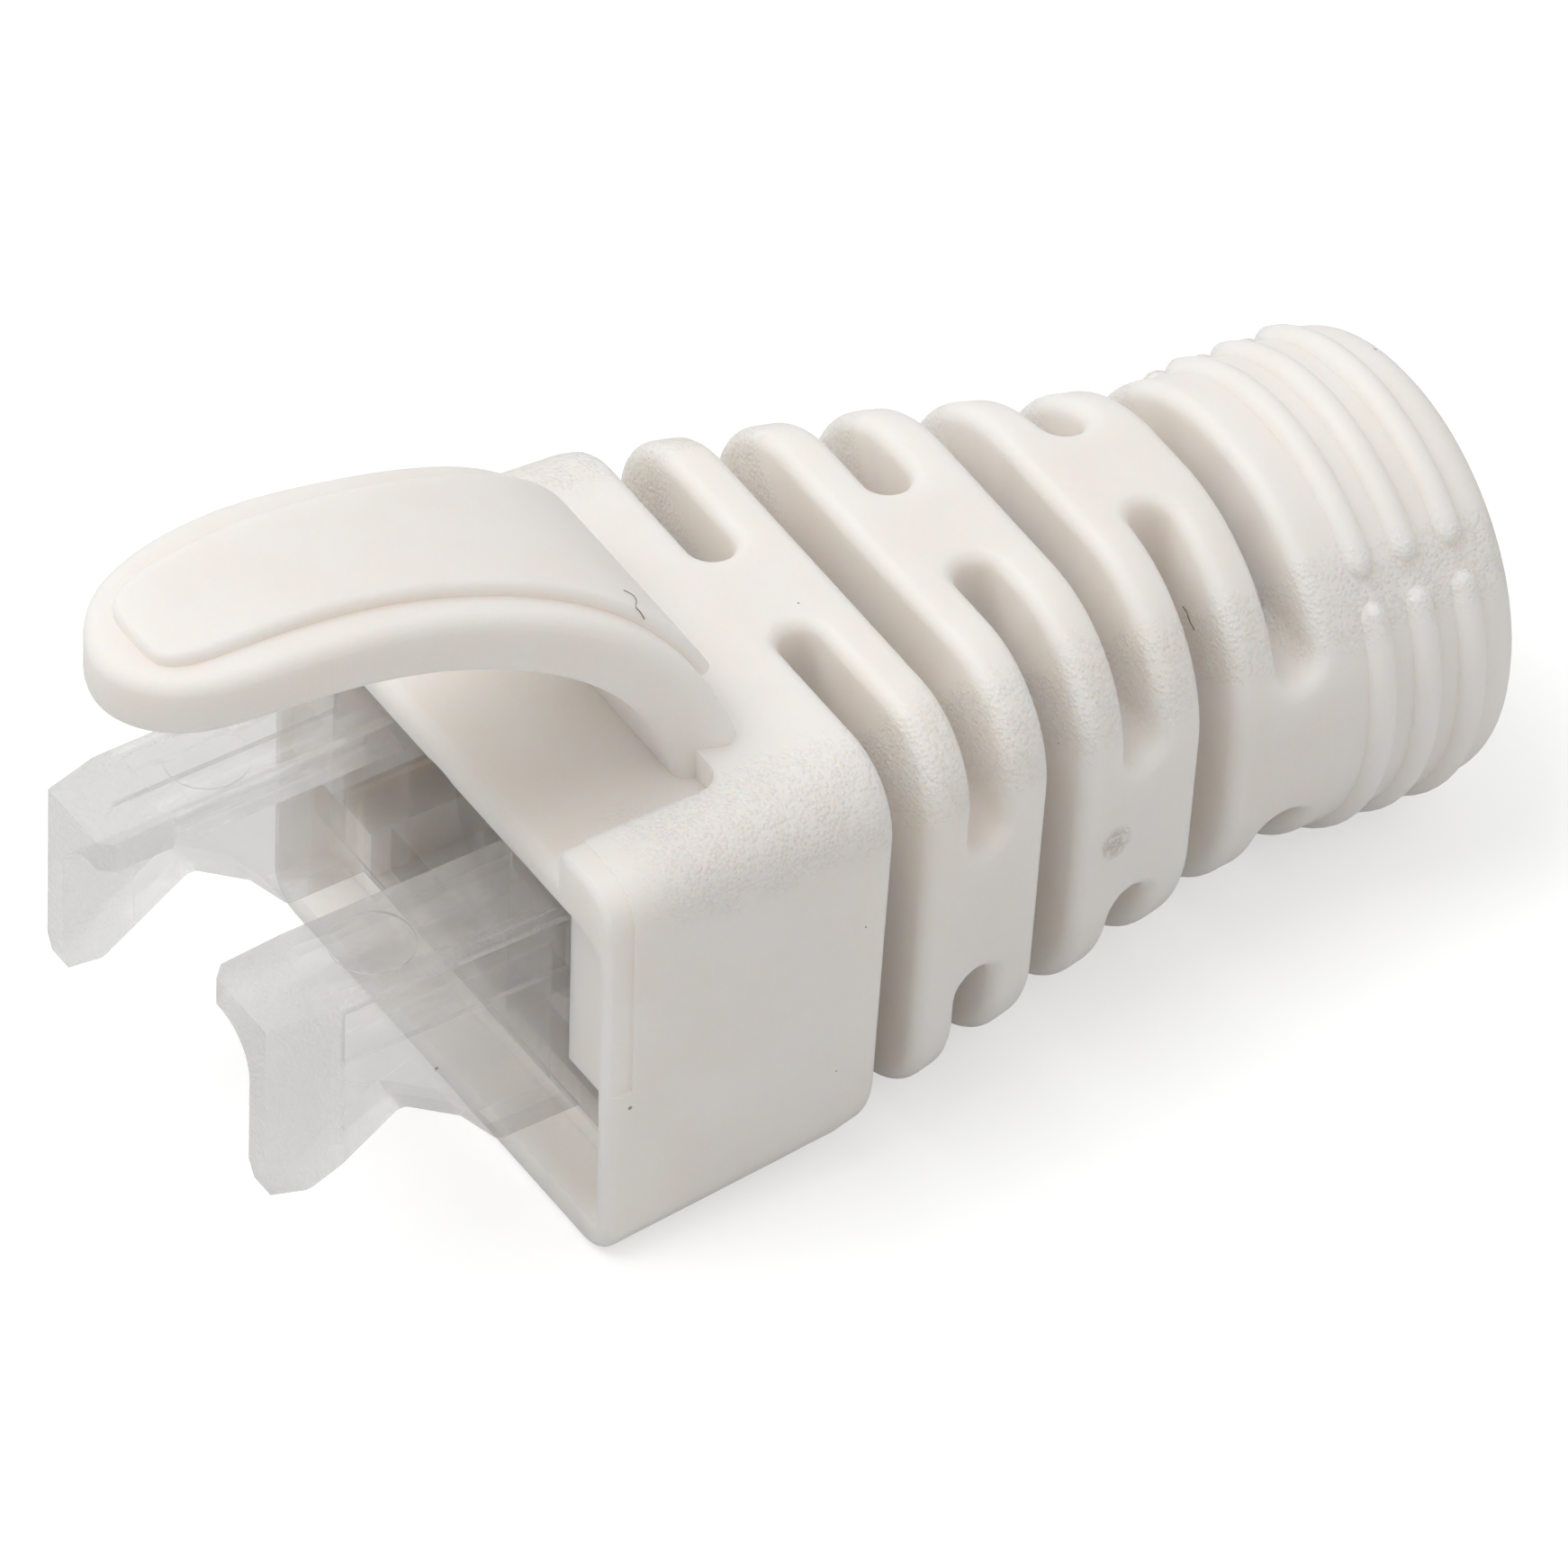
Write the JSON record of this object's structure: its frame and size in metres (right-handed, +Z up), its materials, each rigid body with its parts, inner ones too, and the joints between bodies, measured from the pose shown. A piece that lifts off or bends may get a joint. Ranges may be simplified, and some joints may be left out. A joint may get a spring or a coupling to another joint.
{
  "type": "rj45 strain relief boot",
  "caption": "Flexible slotted boot with an arched latch guard and a round ribbed collar, holding a clear insert with two hooked arms.",
  "frame": {"origin": "middle of the housing's lower front edge, at the mouth", "axes": "+X from the plug end to the cable end, +Y across, +Z up towards the latch guard"},
  "size_m": [0.0347, 0.014, 0.0195],
  "materials": {
    "boot": "matte moulded soft plastic",
    "clear": "clear moulded plastic with frosted tips"
  },
  "bodies": {
    "root": {"boot": "boot", "clear_insert": "clear"}
  },
  "joints": []
}
